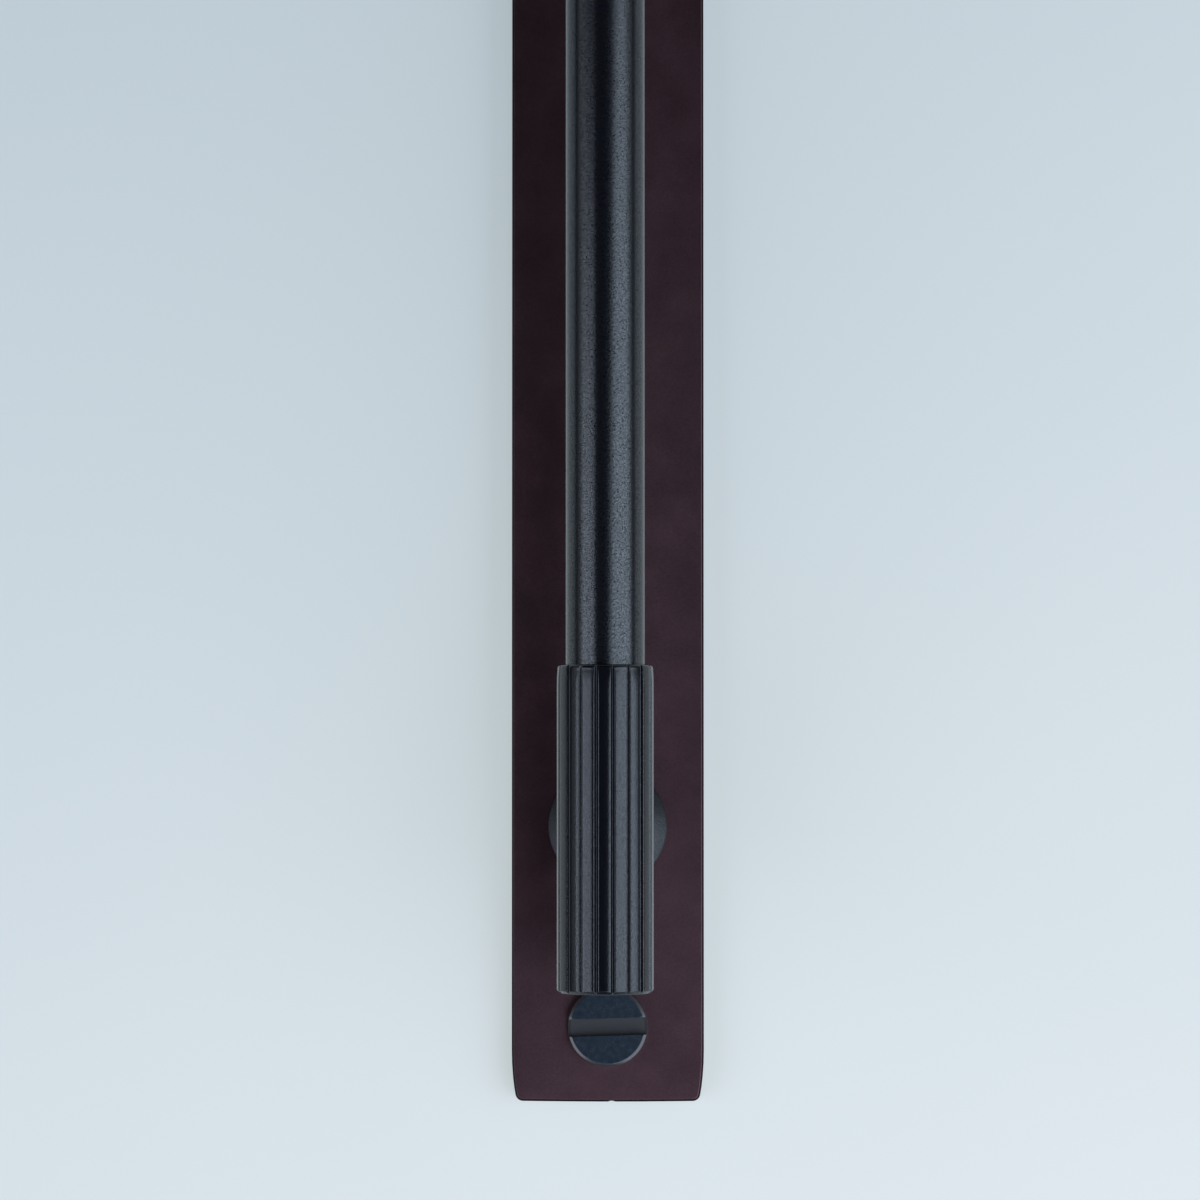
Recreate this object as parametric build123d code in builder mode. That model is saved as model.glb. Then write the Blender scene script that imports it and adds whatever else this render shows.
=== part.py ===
"""Cabinet pull handle: a round bar with fluted end sleeves, held off a backplate by two posts.

Millimetres. X runs across the plate, Y into the door, Z up along the handle.
The origin is the middle of the backplate's back face, so the handle stands out along -Y.
"""

import os
from math import radians, sqrt, tan

from build123d import *

# Layout of the handle on the door
post_spacing = 160.0
bar_axis_height = 33.0

# Backplate
plate_width = 30.0
plate_thickness = 4.0
plate_overhang = 43.0
plate_easing_length = 8.0
plate_easing_depth = 0.75
plate_end_bow = 0.12
plate_corner_radius = 1.0
plate_edge_bevel = 0.3
nick_offset = 0.6
nick_radius = 1.0
nick_depth = 0.18

# Bar and grip sleeves
bar_diameter = 12.0
bar_end_chamfer = 0.6
sleeve_length = 49.5
sleeve_wall = 1.3
sleeve_end_wall = 3.0
sleeve_outer_chamfer = 0.5
sleeve_easing_length = 3.5
sleeve_easing_depth = 0.14
sleeve_mouth_round = 0.5
sleeve_mouth_chamfer = 0.25
flute_count = 18
flute_width = 0.8
flute_depth = 0.45
flute_turn = 9.8

# Posts
post_diameter = 10.0
foot_diameter = 18.6
foot_rim_height = 0.8
foot_rim_bevel = 0.2
foot_slope = 38.0
foot_neck_bevel = 2.4
spigot_diameter = 8.0
door_bolt_tap_diameter = 3.3
door_bolt_depth = 10.0
door_bolt_countersink = 0.4

# Set screws between the posts and the bar
stud_diameter = 6.0
stud_in_post = 7.0
stud_in_bar = 7.0
stud_end_chamfer = 0.6
stud_key_width = 3.0
stud_key_depth = 3.0

# Slotted plate screws
screw_inset = 11.8
screw_head_diameter = 12.4
screw_head_height = 3.0
screw_bevel_width = 0.45
screw_bevel_depth = 0.25
screw_slot_width = 2.7
screw_slot_depth = 1.6
screw_shank_diameter = 5.0
screw_slot_turn = {"lower": 1.8, "upper": -4.0}

# Clearances, and how far over size the sleeves are turned before the fluting trims them
fit_clearance = 0.05
hole_bottom_clearance = 0.5
door_clearance = 0.2
edge_lead = 0.02

# Sizes that follow
bar_radius = bar_diameter / 2
bore_radius = bar_radius + fit_clearance
sleeve_radius = bore_radius + sleeve_wall
sleeve_end = post_spacing / 2 + sleeve_length / 2
mouth_round = min(sleeve_mouth_round, sleeve_wall - 2 * sleeve_mouth_chamfer - sleeve_easing_depth)
bar_length = 2 * (sleeve_end - sleeve_end_wall - fit_clearance)
post_seat = bar_axis_height - bar_radius - fit_clearance
post_radius = post_diameter / 2
foot_radius = foot_diameter / 2
plate_length = post_spacing + 2 * plate_overhang
screw_spacing = plate_length - 2 * screw_inset
screw_head_radius = screw_head_diameter / 2

# The ends of the handle, each with the way along Z from there to the handle's middle
ends = {"lower": 1, "upper": -1}

# Heights are counted from the door to the viewer, so a plane at a height faces along -Y
door_face = Plane.XZ
viewer_angle = -90


def side_plane(z):
    """A plane across the handle at z: local x is the radius and local y the height above the door."""
    return Plane(origin=(0, 0, z), x_dir=(1, 0, 0), z_dir=(0, 0, -1))


def outward_axis(z):
    """The axis at z that runs from the door to the viewer."""
    return Axis((0, 0, z), (0, -1, 0))


def build_backplate():
    """A flat bar with bevelled front edges, its ends eased and bowed as a hand finish leaves them."""
    half_width = plate_width / 2
    half_length = plate_length / 2
    with BuildPart() as backplate:
        with BuildSketch(door_face) as outline:
            with BuildLine():
                side = Line((half_width, 0), (half_width, half_length - plate_easing_length))
                end_corner = (half_width - plate_easing_depth, half_length - plate_end_bow)
                TangentArc(side @ 1, end_corner, tangent=side % 1)
                TangentArc((0, half_length), end_corner, tangent=(1, 0))
                mirror(about=Plane.YZ)
                mirror(about=Plane.XZ)
            make_face()
            fillet(outline.vertices().group_by(SortBy.DISTANCE)[-1], radius=plate_corner_radius)
        extrude(amount=plate_thickness)
        chamfer(backplate.faces().sort_by(Axis.Y)[0].edges(), length=plate_edge_bevel)
        with BuildSketch(door_face):
            with GridLocations(0, post_spacing, 1, 2):
                Circle(spigot_diameter / 2 + fit_clearance)
            with GridLocations(0, screw_spacing, 1, 2):
                Circle(screw_shank_diameter / 2 + fit_clearance)
            with Locations((nick_offset, nick_depth - nick_radius - half_length)):
                Circle(nick_radius)
        extrude(amount=plate_thickness, mode=Mode.SUBTRACT)
    return backplate.part


def build_grip_bar():
    """A solid round bar with a blind tapped hole across each end for the set screws."""
    with BuildPart() as grip_bar:
        with BuildSketch(Plane((0, -bar_axis_height, -bar_length / 2))):
            Circle(bar_radius)
        extrude(amount=bar_length)
        chamfer(grip_bar.edges().filter_by(GeomType.CIRCLE), length=bar_end_chamfer)
        with BuildSketch(door_face.offset(post_seat)):
            with GridLocations(0, post_spacing, 1, 2):
                Circle(stud_diameter / 2 + fit_clearance)
        extrude(amount=stud_in_bar + hole_bottom_clearance, mode=Mode.SUBTRACT)
    return grip_bar.part


def build_grip_sleeve(inward):
    """A turned cup over the bar's end, with straight flutes that run out through both its edges.

    Towards its mouth the sleeve eases in, and the edge there is rounded in two flats. The upper sleeve is
    the lower one turned half round.
    """
    closed_end = Plane(
        origin=(0, -bar_axis_height, -inward * sleeve_end),
        x_dir=(inward, 0, 0),
        z_dir=(0, 0, inward),
    )
    half_section = Plane(closed_end.origin, x_dir=closed_end.x_dir, z_dir=-closed_end.y_dir)
    turned_radius = sleeve_radius + edge_lead
    mouth_radius = turned_radius - sleeve_easing_depth
    mouth_middle = mouth_round * (1 - sqrt(1 / 2))
    with BuildPart() as grip_sleeve:
        with BuildSketch(half_section):
            with BuildLine():
                Polyline(
                    (0, 0),
                    (turned_radius - sleeve_outer_chamfer, 0),
                    (turned_radius, sleeve_outer_chamfer),
                    (turned_radius, sleeve_length - sleeve_easing_length),
                    (mouth_radius, sleeve_length - mouth_round),
                    (mouth_radius - mouth_middle, sleeve_length - mouth_middle),
                    (mouth_radius - mouth_round, sleeve_length),
                    (bore_radius + sleeve_mouth_chamfer, sleeve_length),
                    (bore_radius, sleeve_length - sleeve_mouth_chamfer),
                    (bore_radius, sleeve_end_wall),
                    (0, sleeve_end_wall),
                    close=True,
                )
            make_face()
        revolve(axis=Axis(closed_end.origin, closed_end.z_dir))
        with BuildSketch(closed_end):
            Circle(sleeve_radius)
            with PolarLocations(sleeve_radius, flute_count, start_angle=viewer_angle + flute_turn):
                Polygon(
                    (-flute_depth, 0),
                    (flute_depth, -flute_width),
                    (flute_depth, flute_width),
                    align=None,
                    mode=Mode.SUBTRACT,
                )
        extrude(amount=sleeve_length, mode=Mode.INTERSECT)
        with BuildSketch(door_face.offset(bar_axis_height - sleeve_radius)):
            with Locations((0, -inward * post_spacing / 2)):
                Circle(post_radius + fit_clearance)
        extrude(amount=sleeve_radius, mode=Mode.SUBTRACT)
    return grip_sleeve.part


def build_post(inward):
    """A turned post: foot in two cones, spigot through the plate, saddle under the bar, tapped ends."""
    z = -inward * post_spacing / 2
    rim_top = plate_thickness + foot_rim_height
    neck = rim_top + (foot_radius - post_radius) * tan(radians(foot_slope))
    with BuildPart() as post:
        with BuildSketch(side_plane(z)) as turned:
            with BuildLine():
                Polyline(
                    (0, door_clearance),
                    (spigot_diameter / 2, door_clearance),
                    (spigot_diameter / 2, plate_thickness),
                    (foot_radius, plate_thickness),
                    (foot_radius, rim_top),
                    (post_radius, neck),
                    (post_radius, bar_axis_height),
                    (0, bar_axis_height),
                    close=True,
                )
            make_face()
            rim_corner = turned.vertices().group_by(Axis.X)[-1].sort_by(Axis.Y)[-1]
            chamfer(rim_corner, length=foot_rim_bevel)
            neck_corner = turned.vertices().sort_by_distance((post_radius, neck))[0]
            chamfer(neck_corner, length=foot_neck_bevel)
        revolve(axis=outward_axis(z))
        with BuildSketch(Plane((0, -bar_axis_height, z - foot_radius))):
            Circle(bar_axis_height - post_seat)
        extrude(amount=foot_diameter, mode=Mode.SUBTRACT)
        with BuildSketch(door_face.offset(post_seat - stud_in_post - hole_bottom_clearance)):
            with Locations((0, z)):
                Circle(stud_diameter / 2 + fit_clearance)
        extrude(amount=bar_axis_height, mode=Mode.SUBTRACT)
        with BuildSketch(door_face.offset(door_clearance)):
            with Locations((0, z)):
                Circle(door_bolt_tap_diameter / 2)
        extrude(amount=door_bolt_depth, mode=Mode.SUBTRACT)
        back_rims = post.edges().filter_by(GeomType.CIRCLE).group_by(Axis.Y)[-1]
        bolt_mouth = back_rims.sort_by(SortBy.RADIUS)[0]
        chamfer(bolt_mouth, length=door_bolt_countersink)
    return post.part


def build_post_studs():
    """Two headless set screws, half in the post and half in the bar, with a key socket at one end."""
    stud_length = stud_in_post + stud_in_bar
    with BuildPart() as post_studs:
        with BuildSketch(door_face.offset(post_seat - stud_in_post)):
            with GridLocations(0, post_spacing, 1, 2):
                Circle(stud_diameter / 2)
        extrude(amount=stud_length)
        chamfer(post_studs.edges().filter_by(GeomType.CIRCLE), length=stud_end_chamfer)
        with BuildSketch(door_face.offset(post_seat + stud_in_bar)):
            with GridLocations(0, post_spacing, 1, 2):
                RegularPolygon(stud_key_width / 2, side_count=6, major_radius=False)
        extrude(amount=-stud_key_depth, mode=Mode.SUBTRACT)
    return post_studs.part


def build_plate_screws():
    """Two slotted screws with bevelled heads, their shanks in the plate's end holes."""
    head_top = plate_thickness + screw_head_height
    with BuildPart() as plate_screws:
        for end, inward in ends.items():
            z = -inward * screw_spacing / 2
            with BuildSketch(side_plane(z)):
                with BuildLine():
                    Polyline(
                        (0, door_clearance),
                        (screw_shank_diameter / 2, door_clearance),
                        (screw_shank_diameter / 2, plate_thickness),
                        (screw_head_radius, plate_thickness),
                        (screw_head_radius, head_top - screw_bevel_depth),
                        (screw_head_radius - screw_bevel_width, head_top),
                        (0, head_top),
                        close=True,
                    )
                make_face()
            revolve(axis=outward_axis(z))
            with BuildSketch(door_face.offset(head_top)):
                with Locations((0, z)):
                    Rectangle(screw_head_diameter, screw_slot_width, rotation=screw_slot_turn[end])
            extrude(amount=-screw_slot_depth, mode=Mode.SUBTRACT)
    return plate_screws.part


pieces = {
    "backplate": build_backplate(),
    "grip_bar": build_grip_bar(),
    "post_studs": build_post_studs(),
    "plate_screws": build_plate_screws(),
}
for end, inward in ends.items():
    pieces[end + "_grip_sleeve"] = build_grip_sleeve(inward)
    pieces[end + "_post"] = build_post(inward)

os.makedirs("parts", exist_ok=True)
for name, piece in pieces.items():
    piece.label = name
    export_step(piece, "parts/" + name + ".step")
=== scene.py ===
"""Finer forms, finishes and stage for a cabinet pull handle with fluted grip sleeves on a backplate.

Metres. X runs across the plate, Y into the door, Z up along the handle. Each piece keeps the place and
the size that the frame gives it. It is built about its own axis, which is local Z, and then stood in place.
"""

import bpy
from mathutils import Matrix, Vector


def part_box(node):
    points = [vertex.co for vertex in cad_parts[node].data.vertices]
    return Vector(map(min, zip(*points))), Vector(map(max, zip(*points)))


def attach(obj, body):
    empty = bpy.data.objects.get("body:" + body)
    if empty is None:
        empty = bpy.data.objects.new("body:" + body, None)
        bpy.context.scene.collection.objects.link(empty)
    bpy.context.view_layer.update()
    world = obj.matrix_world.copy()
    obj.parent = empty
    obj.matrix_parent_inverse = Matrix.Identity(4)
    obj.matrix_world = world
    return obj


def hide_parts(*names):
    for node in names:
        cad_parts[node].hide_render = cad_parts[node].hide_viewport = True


bl_info = {
    "name": "Fluted cabinet pull handle",
    "version": (1, 0, 0),
    "blender": (4, 5, 0),
    "location": "View3D > Sidebar > Handle",
    "description": "Builds the finer forms, finishes and stage of a fluted cabinet pull handle",
    "category": "Add Mesh",
}

import math

import bpy
from bpy.props import FloatProperty, FloatVectorProperty, IntProperty, PointerProperty
from bpy.types import Operator, Panel, PropertyGroup
from mathutils import Matrix, Vector

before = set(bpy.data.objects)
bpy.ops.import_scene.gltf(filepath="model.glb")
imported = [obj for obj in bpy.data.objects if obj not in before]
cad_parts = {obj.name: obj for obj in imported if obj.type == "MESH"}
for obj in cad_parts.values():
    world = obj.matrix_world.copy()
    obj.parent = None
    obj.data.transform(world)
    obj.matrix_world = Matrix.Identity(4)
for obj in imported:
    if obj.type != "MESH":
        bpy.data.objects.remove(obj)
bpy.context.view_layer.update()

FULL_TURN = 2 * math.pi
HALF_TURN = math.pi
QUARTER_TURN = math.pi / 2
ENDS = ("lower", "upper")

# A piece that stands on the door has its local Z towards the viewer and its local Y up the handle
OUTWARD = Matrix.Rotation(QUARTER_TURN, 4, "X")

# Faces of a turned piece round its axis, and rows of points to one turn of a screw thread
SEGMENTS = 96
THREAD_ROWS = 8

# Places across half a flute where its section is drawn, in half widths: close together at the lip
FLUTE_STATIONS = (0.0, 0.12, 0.25, 0.4, 0.55, 0.7, 0.85, 1.0, 1.15, 1.3, 1.5, 1.75, 2.1, 2.6, 3.3)

# Places where other long curves are drawn, as shares of the plate's eased side, of half the plate's end
# and of the saddle's width, and the steps of the easing at a sleeve's mouth
SIDE_STATIONS = (0.25, 0.5, 0.7)
END_STATIONS = (0.8, 0.4, 0.0)
SADDLE_STATIONS = (1.0, 0.7, 0.35, 0.0)
EASING_STEPS = 8

# Rounds are drawn in steps of about this length, and edges up to the limit are divided as finely
ROUND_STEP = 0.00009
FEWEST_ROUND_STEPS = 3
DIVIDED_LIMIT = 0.001

# Edges that turn by more than this stay crisp
CRISP_ANGLE = math.radians(35)

# Where a cut piece is eased, edges that turn by more than this get a round of so many faces
EASED_ANGLE = math.radians(75)
EASED_FACES = 2

# Most values of a noise texture lie between these
NOISE_LOW = 0.3
NOISE_HIGH = 0.7

# Sockets of a Mix node that mixes two colours
MIX_FIRST = 6
MIX_SECOND = 7
MIX_RESULT = 2


def colour(digits):
    """A linear colour from sRGB hex digits."""
    channels = [int(digits[k : k + 2], 16) / 255 for k in (0, 2, 4)]
    return [c / 12.92 if c <= 0.04045 else ((c + 0.055) / 1.055) ** 2.4 for c in channels] + [1.0]


class HandlePlateSettings(PropertyGroup):
    """Sizes of the backplate"""

    easing_length: FloatProperty(
        name="Easing length", description="Stretch of each side that eases in", default=0.008, unit="LENGTH"
    )
    easing_depth: FloatProperty(
        name="Easing depth", description="How far a side eases in at an end", default=0.00075, unit="LENGTH"
    )
    end_bow: FloatProperty(
        name="End bow", description="How far an end bows out at its middle", default=0.00012, unit="LENGTH"
    )
    corner_radius: FloatProperty(
        name="Corner round",
        description="How far from a corner its round starts",
        default=0.001,
        unit="LENGTH",
    )
    edge_bevel: FloatProperty(
        name="Edge bevel", description="Bevel along the front edges", default=0.0003, unit="LENGTH"
    )
    edge_ease: FloatProperty(
        name="Edge ease", description="Small round on every edge", default=0.00008, unit="LENGTH"
    )
    nick_offset: FloatProperty(
        name="Nick offset",
        description="Nick in the lower end, from the middle",
        default=0.0006,
        unit="LENGTH",
    )
    nick_radius: FloatProperty(
        name="Nick radius", description="Round of the nick", default=0.001, unit="LENGTH"
    )
    nick_depth: FloatProperty(
        name="Nick depth", description="Depth of the nick", default=0.00018, unit="LENGTH"
    )


class HandleGripSettings(PropertyGroup):
    """Sizes of the bar and of the fluted sleeves on its ends"""

    fit: FloatProperty(
        name="Fit",
        description="Clearance between pieces that slide together",
        default=0.00005,
        unit="LENGTH",
    )
    bar_chamfer: FloatProperty(
        name="Bar chamfer", description="Chamfer at the bar's ends", default=0.0006, unit="LENGTH"
    )
    edge_ease: FloatProperty(
        name="Edge ease",
        description="Small round on the chamfers of bar and bore, and where a flute meets an edge",
        default=0.00005,
        unit="LENGTH",
    )
    end_wall: FloatProperty(
        name="End wall", description="Thickness of a sleeve's closed end", default=0.003, unit="LENGTH"
    )
    easing_length: FloatProperty(
        name="Easing length",
        description="Stretch that eases in to a sleeve's mouth",
        default=0.0035,
        unit="LENGTH",
    )
    easing_depth: FloatProperty(
        name="Easing depth",
        description="How far a sleeve eases in at its mouth",
        default=0.00014,
        unit="LENGTH",
    )
    mouth_round: FloatProperty(
        name="Mouth round", description="Round of a sleeve's open edge", default=0.0005, unit="LENGTH"
    )
    mouth_chamfer: FloatProperty(
        name="Mouth chamfer", description="Chamfer where the bar enters", default=0.00025, unit="LENGTH"
    )
    outer_chamfer: FloatProperty(
        name="Outer chamfer", description="Chamfer at a sleeve's closed end", default=0.0005, unit="LENGTH"
    )
    outer_ease: FloatProperty(
        name="Outer ease", description="Softness of that chamfer's edges", default=0.00011, unit="LENGTH"
    )
    flute_count: IntProperty(name="Flutes", description="Flutes round a sleeve", default=18, min=3)
    flute_width: FloatProperty(
        name="Flute width", description="Width of a flute between its lips", default=0.0006, unit="LENGTH"
    )
    flute_depth: FloatProperty(
        name="Flute depth", description="Depth of a flute below its lips", default=0.00039, unit="LENGTH"
    )
    flute_form: FloatProperty(
        name="Flute form",
        description="Section of a flute, from 1 for a V to 2 for a round root",
        default=1.75,
    )
    flute_turn: FloatProperty(
        name="Flute turn",
        description="Turn from the viewer's direction to the first flute",
        default=math.radians(9.8),
        unit="ROTATION",
    )
    lip_round: FloatProperty(
        name="Lip round", description="Softness of a flute's lips", default=0.00013, unit="LENGTH"
    )
    shoulder_width: FloatProperty(
        name="Shoulder width",
        description="Stretch that falls away to a flute",
        default=0.00044,
        unit="LENGTH",
    )
    shoulder_depth: FloatProperty(
        name="Shoulder depth",
        description="How far it has fallen at the lip",
        default=0.000025,
        unit="LENGTH",
    )


class HandlePostSettings(PropertyGroup):
    """Sizes of the posts and of the set screws that pull them to the bar"""

    diameter: FloatProperty(
        name="Diameter", description="Diameter of a post above its foot", default=0.010, unit="LENGTH"
    )
    rim_height: FloatProperty(
        name="Rim height", description="Height of the foot's rim", default=0.0008, unit="LENGTH"
    )
    foot_slope: FloatProperty(
        name="Foot slope", description="Slope of the foot's cone", default=math.radians(38), unit="ROTATION"
    )
    neck_bevel: FloatProperty(
        name="Neck round",
        description="How far the round from foot to post reaches",
        default=0.0024,
        unit="LENGTH",
    )
    edge_ease: FloatProperty(
        name="Edge ease", description="Small round on the turned edges", default=0.0002, unit="LENGTH"
    )
    spigot_diameter: FloatProperty(
        name="Spigot diameter", description="Spigot through the plate", default=0.008, unit="LENGTH"
    )
    bolt_diameter: FloatProperty(
        name="Bolt diameter", description="Diameter of the door bolt's thread", default=0.004, unit="LENGTH"
    )
    bolt_pitch: FloatProperty(
        name="Bolt pitch", description="Pitch of the door bolt's thread", default=0.0007, unit="LENGTH"
    )
    bolt_depth: FloatProperty(
        name="Bolt depth", description="Depth of the door bolt's hole", default=0.010, unit="LENGTH"
    )
    stud_pitch: FloatProperty(
        name="Stud pitch", description="Pitch of the set screws' thread", default=0.001, unit="LENGTH"
    )
    stud_chamfer: FloatProperty(
        name="Stud chamfer", description="Chamfer at the set screws' ends", default=0.0006, unit="LENGTH"
    )
    stud_key_width: FloatProperty(
        name="Key width", description="Across the flats of the key socket", default=0.003, unit="LENGTH"
    )
    stud_key_depth: FloatProperty(
        name="Key depth", description="Depth of the key socket", default=0.003, unit="LENGTH"
    )
    hole_floor: FloatProperty(
        name="Hole floor", description="Space past the end of a set screw", default=0.0005, unit="LENGTH"
    )


class HandleScrewSettings(PropertyGroup):
    """Sizes of the slotted plate screws"""

    bevel_width: FloatProperty(
        name="Bevel width", description="Width of the head's bevel", default=0.00045, unit="LENGTH"
    )
    bevel_depth: FloatProperty(
        name="Bevel depth", description="Depth of the head's bevel", default=0.00025, unit="LENGTH"
    )
    slot_width: FloatProperty(
        name="Slot width", description="Width of the driver slot", default=0.0027, unit="LENGTH"
    )
    slot_depth: FloatProperty(
        name="Slot depth", description="Depth of the driver slot", default=0.0016, unit="LENGTH"
    )
    slot_turn: FloatVectorProperty(
        name="Slot turn",
        description="Turn of the lower and the upper slot",
        default=(math.radians(1.8), math.radians(-4)),
        size=2,
        unit="ROTATION",
    )
    shank_diameter: FloatProperty(
        name="Shank diameter", description="Diameter over the thread", default=0.005, unit="LENGTH"
    )
    thread_pitch: FloatProperty(
        name="Thread pitch", description="Pitch of the shank's thread", default=0.0008, unit="LENGTH"
    )
    edge_ease: FloatProperty(
        name="Edge ease", description="Small round on the edges", default=0.00009, unit="LENGTH"
    )


class HandleFinishSettings(PropertyGroup):
    """Colours of the finishes"""

    lacquer: FloatVectorProperty(
        name="Lacquer",
        description="Black of the bar, the sleeves and the posts",
        default=colour("05060a"),
        size=4,
        subtype="COLOR",
    )
    lacquer_grain: FloatVectorProperty(
        name="Lacquer grain",
        description="Lighter grains in the lacquer",
        default=colour("0c0d12"),
        size=4,
        subtype="COLOR",
    )
    lacquer_sheen: FloatVectorProperty(
        name="Lacquer sheen",
        description="Tint of the lacquer's reflections",
        default=colour("eff9ff"),
        size=4,
        subtype="COLOR",
    )
    patina: FloatVectorProperty(
        name="Patina",
        description="Brown-black of the backplate",
        default=colour("48363b"),
        size=4,
        subtype="COLOR",
    )
    patina_clouds: FloatVectorProperty(
        name="Patina clouds",
        description="Lighter clouds in the patina",
        default=colour("543f45"),
        size=4,
        subtype="COLOR",
    )
    # Painted shade: the bevels and sides of the plate are painted darker
    painted_edge_shade: FloatVectorProperty(
        name="Patina edges",
        description="Darker bevels and sides of the backplate",
        default=colour("1c1518"),
        size=4,
        subtype="COLOR",
    )
    blueing: FloatVectorProperty(
        name="Blueing",
        description="Blue-black of the plate screws",
        default=colour("0a1620"),
        size=4,
        subtype="COLOR",
    )
    blueing_mottle: FloatVectorProperty(
        name="Blueing mottle",
        description="Lighter spots in the blueing",
        default=colour("16222e"),
        size=4,
        subtype="COLOR",
    )
    rubbed_slot: FloatVectorProperty(
        name="Rubbed slot",
        description="Rubbed floor of a screw's slot",
        default=colour("303134"),
        size=4,
        subtype="COLOR",
    )
    # Partly wear, partly a painted highlight: the head's bevel is painted lighter than the blueing
    rim_wear_and_highlight: FloatVectorProperty(
        name="Rubbed rim",
        description="Rubbed bevel of a screw's head",
        default=colour("262629"),
        size=4,
        subtype="COLOR",
    )
    zinc: FloatVectorProperty(
        name="Zinc", description="Grey of the set screws", default=colour("b4b6b8"), size=4, subtype="COLOR"
    )
    zinc_grain: FloatVectorProperty(
        name="Zinc grain",
        description="Lighter grains in the zinc",
        default=colour("c0c2c4"),
        size=4,
        subtype="COLOR",
    )


class HandleStageSettings(PropertyGroup):
    """The door behind the handle, the lamps, the room and the camera"""

    door_size: FloatProperty(
        name="Door size", description="Width and height of the pale panel", default=0.9, unit="LENGTH"
    )
    door_gap: FloatProperty(
        name="Door gap", description="Space between plate and door", default=0.0003, unit="LENGTH"
    )
    door_window: FloatProperty(
        name="Door window",
        description="How far inside the plate's outline the panel is open, to show the plate's back",
        default=0.002,
        unit="LENGTH",
    )
    door_paint: FloatVectorProperty(
        name="Door paint",
        description="Door's paint in lamplight",
        default=colour("757679"),
        size=4,
        subtype="COLOR",
    )
    door_clouds: FloatVectorProperty(
        name="Door clouds",
        description="Lighter clouds in the door's paint",
        default=colour("7c7c7f"),
        size=4,
        subtype="COLOR",
    )
    # Painted light: the door glows for the eye and reflections, from this colour at its upper left to the
    # next at its lower right
    painted_light_dim: FloatVectorProperty(
        name="Dim corner",
        description="Paleness seen at the door's upper left",
        default=colour("8598a0"),
        size=4,
        subtype="COLOR",
    )
    painted_light_pale: FloatVectorProperty(
        name="Pale corner",
        description="Paleness seen at the door's lower right",
        default=colour("bbc3c1"),
        size=4,
        subtype="COLOR",
    )
    painted_light_way: FloatVectorProperty(
        name="Pale way",
        description="Direction in which the door grows paler",
        default=(0.29, 0.0, -0.76),
        subtype="XYZ",
    )
    painted_light_reach: FloatProperty(
        name="Pale reach", description="How far that way it grows paler", default=0.15, unit="LENGTH"
    )
    card_colour: FloatVectorProperty(
        name="Cards",
        description="Black of the cards at both sides",
        default=colour("101214"),
        size=4,
        subtype="COLOR",
    )
    card_distance: FloatProperty(
        name="Card distance", description="From the handle to either card", default=0.30, unit="LENGTH"
    )
    card_depth: FloatProperty(
        name="Card depth",
        description="How far a card stands out from the door",
        default=0.066,
        unit="LENGTH",
    )
    lamp_distance: FloatProperty(
        name="Lamp distance", description="From the handle to either softbox", default=1.1, unit="LENGTH"
    )
    right_aim: FloatVectorProperty(
        name="Right softbox",
        description="Azimuth from the viewer and elevation",
        default=(math.radians(46.7), math.radians(-24)),
        size=2,
        unit="ROTATION",
    )
    right_size: FloatVectorProperty(
        name="Right size", description="Width and height", default=(1.76, 1.54), size=2, unit="LENGTH"
    )
    right_level: FloatProperty(name="Right level", description="Brightness, 1 is white", default=3.1)
    right_tint: FloatVectorProperty(
        name="Right tint",
        description="Colour of the right softbox's light",
        default=colour("e3edff"),
        size=4,
        subtype="COLOR",
    )
    left_aim: FloatVectorProperty(
        name="Left softbox",
        description="Azimuth from the viewer and elevation",
        default=(math.radians(-49.5), math.radians(-22.5)),
        size=2,
        unit="ROTATION",
    )
    left_size: FloatVectorProperty(
        name="Left size", description="Width and height", default=(0.82, 1.14), size=2, unit="LENGTH"
    )
    left_level: FloatProperty(name="Left level", description="Brightness, 1 is white", default=2.9)
    left_tint: FloatVectorProperty(
        name="Left tint",
        description="Colour of the left softbox's light",
        default=colour("eaeeff"),
        size=4,
        subtype="COLOR",
    )
    room_level: FloatProperty(name="Room level", description="Brightness, 1 is white", default=0.8)
    room_pale: FloatVectorProperty(
        name="Room", description="Pale walls of the room", default=colour("dbe3e8"), size=4, subtype="COLOR"
    )
    room_dark: FloatVectorProperty(
        name="Dim room",
        description="Dim parts of the room",
        default=colour("060709"),
        size=4,
        subtype="COLOR",
    )
    shade_aim: FloatVectorProperty(
        name="Dim side",
        description="Azimuth from the viewer and elevation of the room's dim side",
        default=(math.radians(-16), math.radians(30)),
        size=2,
        unit="ROTATION",
    )
    shade_reach: FloatVectorProperty(
        name="Dim reach",
        description="How far round that side the room is dark, and where it is pale again",
        default=(math.radians(36), math.radians(56)),
        size=2,
        unit="ROTATION",
    )
    ground_reach: FloatVectorProperty(
        name="Ground reach",
        description="How far round the point straight below it is dark, and where it is pale again",
        default=(math.radians(22), math.radians(45)),
        size=2,
        unit="ROTATION",
    )
    camera_place: FloatVectorProperty(
        name="Camera place",
        description="Where the camera stands",
        default=(0.01114, -0.84974, -0.06764),
        subtype="TRANSLATION",
    )
    camera_pitch: FloatProperty(
        name="Camera pitch", description="Turn upwards", default=math.radians(1.556), unit="ROTATION"
    )
    camera_yaw: FloatProperty(
        name="Camera yaw", description="Turn to the left", default=math.radians(0.837), unit="ROTATION"
    )
    camera_lens: FloatProperty(
        name="Camera lens", description="Focal length", default=162.27, unit="CAMERA"
    )


def add_node(tree, kind, inputs, **options):
    """A node with its options set, each input a constant or a link from another node's output."""
    node = tree.nodes.new(kind)
    for option, value in options.items():
        setattr(node, option, value)
    for socket, value in inputs.items():
        if isinstance(value, bpy.types.NodeSocket):
            tree.links.new(value, node.inputs[socket])
        else:
            node.inputs[socket].default_value = value
    return node


def new_material(name):
    """A new material, its node tree and its main shader."""
    material = bpy.data.materials.new(name)
    material.use_nodes = True
    return material, material.node_tree, material.node_tree.nodes["Principled BSDF"]


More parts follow.
